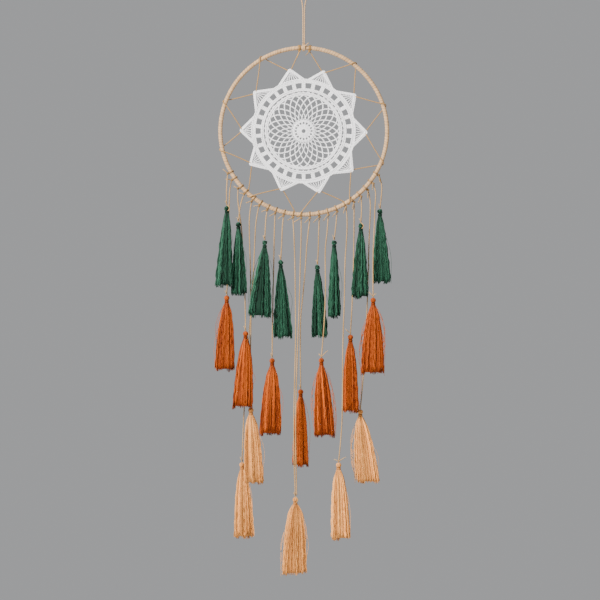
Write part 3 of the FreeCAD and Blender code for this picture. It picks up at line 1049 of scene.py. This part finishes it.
    def skirt(self) -> bpy.types.Mesh:
        """The skirt: locks of threads with grooves between them, a ragged hem and a few strays.

        Returns:
            All its threads.
        """
        draw = self.draw()
        threads = Threads("skirt", Section.HAIR)
        count = self.threads_in_lock
        crinkle = 0.42 if self.dye is Dye.GREEN else 0.26
        shares = [k / 24 for k in range(25)]
        taper = [1.0] * 23 + [0.9, 0.5]
        for lock in range(self.locks):
            heart = 2 * math.pi * (lock + draw.uniform(-0.25, 0.25)) / self.locks
            shade, reach = draw.uniform(0.35, 0.8), draw.uniform(0.88, 1.02)
            hem, sway = draw.uniform(0.95, 1.02), draw.uniform(-0.25, 0.25)
            phase = draw.uniform(0, 6)
            for _ in range(count):
                off = draw.uniform(-1, 1)
                out = reach * (1 - 0.2 * off * off) * (1 - 0.25 * draw.random() ** 2)
                end = hem - min(0.16, abs(draw.gauss(0, 0.03)))
                # the lock's own random tone, with painted shade towards the lock's edges in the grooves
                # between locks, and a random tone for each thread
                tone = shade - 0.4 * off * off + draw.uniform(-0.4, 0.4)
                own = draw.uniform(0, 6)
                line, tones = [], []
                for share in shares:
                    down = share * end
                    side = heart + off * math.pi / self.locks * 1.05 + sway * share
                    point = self.skirt_point(side, down, out)
                    drift = 2 * math.pi * down * self.length
                    wave = math.sin(drift / 17 + phase) + 0.6 * math.sin(drift / 9 + own)
                    point.x += crinkle * share ** 0.5 * wave
                    point.y += 0.5 * crinkle * share ** 0.5 * math.cos(drift / 13 + own)
                    point.x += draw.gauss(0, 0.3 * crinkle)
                    line.append(point)
                    # painted shade in the top eighth of the skirt, under the head; then darker towards the
                    # hem, and a slow wave of tone along the thread
                    tones.append(tone - 0.4 * max(0.0, 1 - share * 8) - self.dye.hem_shade * share ** 2
                                 + 0.12 * math.sin(3 * share + phase))
                threads.add(line, 0.4, tones, taper=taper)
        for side, number in zip((-1, 1), self.strays):
            for _ in range(number):
                self.stray(threads, draw, side)
        return threads.mesh()

    def stray(self, threads: Threads, draw: random.Random, side: int) -> None:
        """One loose thread that stands off the skirt on its left or its right.

        Args:
            threads: the bundle that it is added to.
            draw: the chances that place it.
            side: -1 for the left and 1 for the right.
        """
        start, end = draw.uniform(0.02, 0.5), draw.uniform(0.6, 1.02)
        out = draw.uniform(1.5, 4.5)
        line = []
        for n in range(8):
            share = mix(start, end, n / 7)
            point = self.skirt_point(0 if side > 0 else math.pi, share, 0.97)
            point.x += side * out * math.sin(math.pi * min(1.0, n / 7 + 0.08)) ** 1.3
            line.append(point)
        threads.add(line, 0.2, draw.uniform(0.4, 0.9))

    def dress(self) -> None:
        """Make the tassel in one piece."""
        mesh = joined(f"threads_{self.name}", (self.core(), self.head(), self.skirt()))
        place(mesh, self.dye.value, self.body, f"tassel_{self.name}")


@dataclass
class StringKnots:
    """The knots that tie the strings to the hoop: two turns round it, a drawn-up knot and a cut tail."""

    strands: list[Strand]

    def mesh(self) -> bpy.types.Mesh:
        """Tie every knot.

        Returns:
            All the knots in one mesh.
        """
        draw = random.Random(29)
        threads = Threads("string_knots", Section.ROUND)
        for strand in self.strands:
            y = knot_depth(strand.depth)
            for string in strand.strings:
                threads.add(wound_turns(string.angle + draw.uniform(-0.2, 0.2), TUBE_RADIUS + 0.62,
                                        draw.uniform(1.0, 1.7), 1.5), 0.58, draw.uniform(0.2, 0.5))
                knot = polar(KNOT_CIRCLE, string.angle, y)
                lie = Euler((draw.uniform(0.2, 1.4), draw.uniform(0, 3), draw.uniform(0, 3)))
                overhand(threads, knot + Vector((0, -0.5, 0.1)), 1.3, lie, 0.66, draw.uniform(0.15, 0.5))
                a = math.radians(string.tail_angle)
                foot = knot + Vector((0, -1.7, 0))
                tip = foot + Vector((math.cos(a), 0, math.sin(a))) * string.tail_length
                frayed_tail(threads, foot, tip, (0, -0.6, 0.5), 0.8, 0.6, draw)
        return threads.mesh()


@dataclass
class Hanger:
    """The doubled hanging cord and the hitch that holds the hoop."""

    cord: float = 0.75
    foot_gap: float = 0.3
    top: tuple[tuple[float, float], ...] = ((0.9, 26.0), (4.6, 14.5), (6.6, 5.5), (3.4, -0.75))
    clearance: float = 0.32         # between the hoop and the hitch
    wall: float = 1.2
    knot_rise: float = 1.3          # how far the hitch's knot stands above it

    @property
    def hitch_top(self) -> float:
        """The height of the hitch's knot."""
        return TUBE_TOP_Z + TUBE_RADIUS + self.clearance + self.wall + self.knot_rise

    def loop(self) -> None:
        """The cord from the hitch up over the hang point and back."""
        foot = self.hitch_top + self.foot_gap
        rising = [Vector((0.8, 0, foot)), Vector((0.95, 0, (foot - self.top[0][1]) / 2))]
        rising += [Vector((x, 0, -down)) for x, down in self.top]
        falling = [Vector((-p.x, 0, p.z)) for p in reversed(rising)]
        line = smooth_line([p * MM for p in rising + falling], ROUTE_STEP * MM)
        threads = Threads("hanging_cord", Section.PLIED)
        threads.add([p / MM for p in line], 0.67, 0.65, twist=0.12)
        piece = place(threads.mesh(), LACE, "hanger", "hanging_loop")

    def hitch(self) -> None:
        """Three turns of the cord round the hoop's top, the knot above them and the tail."""
        draw = random.Random(7)
        threads = Threads("hitch", Section.ROUND)
        middle = Vector((0, 0, TUBE_TOP_Z))
        line = []
        for n in range(73):
            a = 2 * math.pi * n / 24
            line.append(middle + Vector((mix(-1.35, 1.35, n / 72), 3.45 * math.sin(a), 3.45 * math.cos(a))))
        threads.add(line, 0.7, 0.7)
        overhand(threads, Vector((0, -0.2, self.hitch_top - 1.5)), 1.55, Euler((1.2, 0.2, 0.3)), 0.75, 0.55)
        frayed_tail(threads, middle + Vector((0.3, -3.3, 0.8)), middle + Vector((5.0, -3.4, 4.8)),
                    (0.3, -0.8, 0), 0.7, 0.66, draw)
        place(threads.mesh(), LACE, "hitch", "hanger_hitch")


@dataclass
class Studio:
    """The camera, the pale floor and soft lights."""

    width: float = 0.702            # what the camera takes in at the object
    distance: float = 3.2
    middle: tuple[float, float, float] = (-0.0044, 0.0, -0.3715)
    floor_z: float = -1.0

    def camera(self) -> None:
        """A long lens square to the front."""
        data = bpy.data.cameras.new("camera")
        data.lens = data.sensor_width / self.width * self.distance
        camera = linked("camera", data)
        camera.location = Vector(self.middle) - Vector((0, self.distance, 0))
        camera.rotation_euler = (math.radians(90), 0, 0)
        bpy.context.scene.camera = camera

    def lamp(self, name: str, at: tuple[float, float, float], size: float, power: float,
             tint: Colour) -> None:
        """One square area light that looks at the object's middle.

        Args:
            name: what it is called.
            at: where it stands, in metres.
            size: its side, in metres.
            power: in watts.
            tint: its colour.
        """
        data = bpy.data.lights.new(name, "AREA")
        data.size = size
        data.energy = power
        data.color = tint
        lamp = linked(name, data)
        lamp.location = at
        lamp.rotation_euler = (Vector(self.middle) - Vector(at)).to_track_quat("-Z", "Y").to_euler()

    def floor(self) -> None:
        """A plain pale floor well below the lowest tassel."""
        work = bmesh.new()
        bmesh.ops.create_grid(work, x_segments=1, y_segments=1, size=1.5,
                              matrix=Matrix.Translation((0, 0, self.floor_z)))
        mesh = bpy.data.meshes.new("floor")
        work.to_mesh(mesh)
        work.free()
        floor = linked("floor", mesh)
        mesh.materials.append(FLOOR_PAINT.material())

    def light(self) -> None:
        """Soft light from the upper left, a weak fill from the right and a pale room."""
        self.lamp("key", (-1.8, -2.1, 1.2), 0.9, 320.0, (1.0, 0.985, 0.96))
        self.lamp("fill", (1.9, -1.8, -0.4), 1.6, 10.0, (0.95, 0.97, 1.0))
        self.lamp("back", (0.6, 1.8, 0.8), 1.2, 14.0, (1.0, 1.0, 1.0))
        world = bpy.data.worlds.new("room")
        world.use_nodes = True
        world.node_tree.nodes["Background"].inputs["Color"].default_value = (0.46, 0.465, 0.475, 1.0)
        world.node_tree.nodes["Background"].inputs["Strength"].default_value = 0.8
        bpy.context.scene.world = world


def all_strands() -> list[Strand]:
    """Every strand round the lower half of the hoop.

    Returns:
        The strands from left to right.
    """
    return [
        Strand("green_l1", -11.9, 91.8, -15.2, 7.0, [
            StringLine(209.2, 136, 5.8, [(-1.0, 12.0), (-1.2, 26.0), (-0.6, 37.0)])], looped=True),
        Strand("orange_l1", 7.5, 85.9, -15.1, 10.6, [
            StringLine(214.2, 167, 5.2, [(-2.5, 9.5), (-2.9, 25.5), (-4.1, 54.5), (-4.4, 97.0),
                (-6.0, 134.0)])], strays=(3, 0)),
        Strand("orange_l2", 0.4, 87.3, -17.1, 9.1, [
            StringLine(221.2, 153, 4.6, [(-1.0, 9.5), (0.6, 23.5), (4.4, 48.0), (5.6, 80.0), (8.2, 126.0),
                (8.6, 166.0)])]),
        Strand("green_l2", -4.6, 83.2, -9.9, 10.6, [
            StringLine(226.5, 157, 3.3, [(-3.5, 10.5), (-5.2, 20.5), (-6.2, 31.5)])]),
        Strand("cream_l1", 7.6, 87.0, -8.1, 16.5, [
            StringLine(233.4, 197, 5.3, [(-3.0, 13.5), (-3.0, 38.5), (-1.6, 80.0), (-1.0, 138.0),
                (-2.0, 190.0), (-1.2, 241.0)])], shoulder=0.75),
        Strand("cream_l2", 15.8, 86.3, -10.9, 14.9, [
            StringLine(239.1, 180, 4.7, [(-3.5, 14.0), (-5.0, 40.0), (-7.0, 90.0), (-11.5, 146.0),
                (-15.6, 199.0), (-18.5, 253.0), (-20.2, 300.0)])]),
        Strand("green_l3", -9.0, 87.4, -20.7, 8.5, [
            StringLine(245.1, 194, 5.3, [(-1.5, 10.5), (-2.0, 23.0), (-2.7, 34.5)])], strays=(4, 1)),
        Strand("orange_l3", 0.8, 87.3, -16.4, 11.7, [
            StringLine(250.8, 205, 5.4, [(-1.0, 20.0), (-1.5, 58.0), (-3.0, 114.0), (-3.5, 168.5)])]),
        Strand("green_l4", -3.8, 88.6, -9.8, 15.9, [
            StringLine(256.5, 205, 5.2, [(-1.5, 15.0), (-1.9, 33.0), (-3.1, 51.0)])]),
        Strand("cream_centre", -16.1, 87.8, -17.6, 13.3, [
            StringLine(262.8, 205, 4.5, [(1.5, 22.5), (2.3, 48.0), (3.0, 90.0), (3.5, 144.0),
                (1.8, 200.0), (1.0, 249.5), (1.5, 290.0), (3.0, 325.0)]),
            StringLine(268.3, 209, 7.7, [(0.0, 24.0), (-1.2, 56.0), (-2.0, 97.0), (-4.0, 143.5),
                (-5.8, 200.0), (-6.5, 249.0), (-6.0, 290.0), (-5.2, 322.8)])
        ], strays=(2, 3), looped=True, shoulder=0.72),
        Strand("orange_centre", 1.0, 88.0, -10.2, 10.3, [
            StringLine(274.1, 222, 6.1, [(-3.5, 26.5), (-5.0, 52.0), (-8.0, 88.0), (-11.2, 116.0),
                (-11.5, 150.0), (-10.9, 199.5)])]),
        Strand("green_r1", 7.4, 82.4, -8.4, 13.5, [
            StringLine(280.3, 223, 7.7, [(-0.8, 17.5), (-1.0, 36.5), (-2.1, 55.0)])]),
        Strand("orange_r1", -4.7, 89.6, -9.1, 17.8, [
            StringLine(286.3, 230, 6.9, [(-1.0, 19.0), (-3.5, 37.5), (-3.5, 60.0), (-3.0, 85.0),
                (-4.3, 126.0), (-8.0, 166.5)])], strays=(4, 5), tie_tails=((6.0, 6.5), (-2.0, 2.5))),
        Strand("green_r2", 0.7, 88.1, -8.1, 8.3, [
            StringLine(292.5, 227, 5.9, [(-1.0, 11.5), (-2.0, 22.0), (-3.4, 32.5)])]),
        Strand("cream_r2", -10.7, 87.6, -9.4, 14.6, [
            StringLine(299.0, 244, 6.5, [(1.5, 13.0), (1.0, 33.0), (-1.5, 66.5), (-1.7, 106.0),
                (-4.0, 160.5), (-4.0, 218.0), (-5.0, 262.0), (-8.8, 297.0)])
        ], tie_tails=((7.0, 4.6), (-3.2, 2.0)), shoulder=0.9),
        Strand("orange_r2", 2.4, 88.7, -10.5, 11.1, [
            StringLine(305.3, 253, 6.6, [(0.0, 31.5), (-0.7, 73.5), (-2.0, 116.0), (-4.2, 154.0)])
        ], tie_tails=((-4.5, 4.0),)),
        Strand("green_r3", -3.2, 84.6, -12.3, 9.6, [
            StringLine(311.3, 243, 5.8, [(0.4, 11.0), (0.2, 20.5), (-0.5, 30.5)])], looped=True),
        Strand("cream_r1", 10.1, 83.7, -6.8, 24.2, [
            StringLine(317.4, 268, 7.8, [(3.0, 10.5), (3.0, 26.0), (1.5, 56.0), (0.3, 107.0),
                (-1.5, 158.0), (-4.5, 214.0), (-8.6, 256.0)])], strays=(6, 1)),
        Strand("orange_r3", -9.0, 86.7, -15.2, 13.6, [
            StringLine(322.9, 261, 5.8, [(3.4, 9.5), (2.0, 26.0), (1.0, 55.0), (-1.0, 93.0),
                (-0.3, 132.5)])], strays=(7, 7), tie_tails=((-4.0, 4.5), (2.0, 3.0))),
        Strand("green_r4", 1.4, 84.4, -9.4, 14.0, [
            StringLine(329.6, 277, 6.7, [(3.5, 9.0), (3.4, 22.0), (1.3, 38.5)])]),
    ]


def main() -> None:
    """Build and dress the dream catcher, piece by piece."""
    logging.basicConfig(level=logging.INFO, format="%(name)s: %(message)s")
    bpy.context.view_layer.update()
    studio = Studio()
    studio.camera()
    strands = all_strands()
    for strand in strands:
        strand.hang()
    hanger = Hanger()
    hanger.loop()
    hanger.hitch()
    place(LaceWrap().mesh(), LACE, "hoop", "hoop_wrap")
    doily = Doily()
    cloth = place(doily.mesh(), COTTON, "hoop", "doily")
    doily.flat_area()
    place(Lacing().mesh(), GOLD_THREAD, "hoop", "web_thread")
    place(StringKnots(strands).mesh(), KNOTTED_STRING, "hoop", "hoop_knots")
    for strand in strands:
        strand.dress()
    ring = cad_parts["hoop_ring"]
    ring.data.materials.clear()
    ring.data.materials.append(STEEL.material())
    studio.floor()
    studio.light()


if __name__ == "__main__":
    main()
